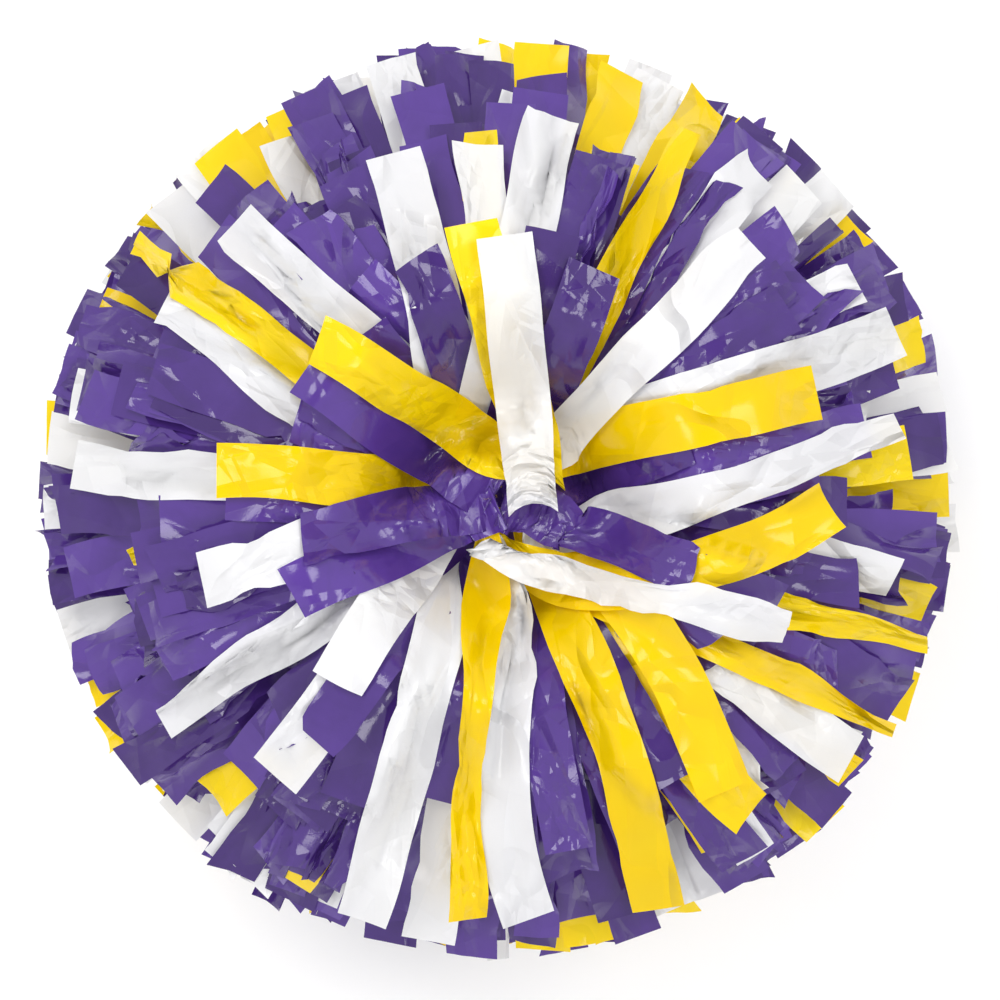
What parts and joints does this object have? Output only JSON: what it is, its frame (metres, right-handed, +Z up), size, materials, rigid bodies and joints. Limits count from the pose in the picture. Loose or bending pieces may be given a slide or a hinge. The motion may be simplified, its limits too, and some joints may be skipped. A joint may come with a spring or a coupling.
{
  "type": "cheer pom",
  "caption": "Round cheerleading pom of glossy film streamers: two tufts that turn on a pull-apart baton handle, with a hand gap between them.",
  "frame": {"origin": "bottom centre, on the floor under the handle's axis", "axes": "+Z up along the handle's axis, X and Y level; +X runs through the middle of a belt bundle"},
  "size_m": [0.322, 0.322, 0.3254],
  "materials": {
    "purple_film": "gloss",
    "white_film": "gloss",
    "yellow_film": "gloss",
    "grip_plastic": "satin",
    "plug_plastic": "satin",
    "pin_steel": "satin",
    "ring_rubber": "matte",
    "tie_nylon": "satin",
    "washer_plastic": "satin"
  },
  "bodies": {
    "lower_handle": {"lower_cross_pin": "pin_steel", "lower_end_plug": "plug_plastic", "lower_grip_half": "grip_plastic"},
    "lower_tuft": {"lower_belt_purple_bundle_1": "purple_film", "lower_belt_purple_bundle_2": "purple_film", "lower_belt_purple_bundle_3": "purple_film", "lower_belt_purple_bundle_4": "purple_film", "lower_belt_white_bundle_1": "white_film", "lower_belt_white_bundle_2": "white_film", "lower_belt_yellow_bundle_1": "yellow_film", "lower_belt_yellow_bundle_2": "yellow_film", "lower_guard_washer": "washer_plastic", "lower_inner_cable_tie": "tie_nylon", "lower_outer_cable_tie": "tie_nylon", "lower_rolled_film_band": "purple_film", "lower_skirt_purple_bundle_1": "purple_film", "lower_skirt_purple_bundle_2": "purple_film", "lower_skirt_purple_bundle_3": "purple_film", "lower_skirt_purple_bundle_4": "purple_film", "lower_skirt_white_bundle_1": "white_film", "lower_skirt_yellow_bundle_1": "yellow_film", "lower_sole_purple_bundle_1": "purple_film", "lower_sole_purple_bundle_2": "purple_film", "lower_sole_purple_bundle_3": "purple_film", "lower_sole_purple_bundle_4": "purple_film", "lower_sole_white_bundle_1": "white_film", "lower_sole_yellow_bundle_1": "yellow_film"},
    "upper_handle": {"spigot_o_ring": "ring_rubber", "upper_cross_pin": "pin_steel", "upper_end_plug": "plug_plastic", "upper_grip_half": "grip_plastic"},
    "upper_tuft": {"upper_belt_purple_bundle_1": "purple_film", "upper_belt_purple_bundle_2": "purple_film", "upper_belt_purple_bundle_3": "purple_film", "upper_belt_purple_bundle_4": "purple_film", "upper_belt_white_bundle_1": "white_film", "upper_belt_white_bundle_2": "white_film", "upper_belt_yellow_bundle_1": "yellow_film", "upper_belt_yellow_bundle_2": "yellow_film", "upper_crown_purple_bundle_1": "purple_film", "upper_crown_purple_bundle_2": "purple_film", "upper_crown_purple_bundle_3": "purple_film", "upper_crown_purple_bundle_4": "purple_film", "upper_crown_white_bundle_1": "white_film", "upper_crown_yellow_bundle_1": "yellow_film", "upper_guard_washer": "washer_plastic", "upper_inner_cable_tie": "tie_nylon", "upper_outer_cable_tie": "tie_nylon", "upper_rolled_film_band": "purple_film", "upper_skirt_purple_bundle_1": "purple_film", "upper_skirt_purple_bundle_2": "purple_film", "upper_skirt_purple_bundle_3": "purple_film", "upper_skirt_purple_bundle_4": "purple_film", "upper_skirt_white_bundle_1": "white_film", "upper_skirt_yellow_bundle_1": "yellow_film"}
  },
  "joints": [
    {"name": "lower_tuft_turn", "type": "hinge", "parent": "lower_handle", "child": "lower_tuft", "pos_m": [0, 0, 0.094], "axis": [0, 0, 1], "continuous": true},
    {"name": "handle_pull_apart", "type": "slide", "parent": "lower_handle", "child": "upper_handle", "axis": [0, 0, 1], "range_m": [0, 0.07]},
    {"name": "upper_tuft_turn", "type": "hinge", "parent": "upper_handle", "child": "upper_tuft", "pos_m": [0, 0, 0.206], "axis": [0, 0, 1], "continuous": true}
  ]
}
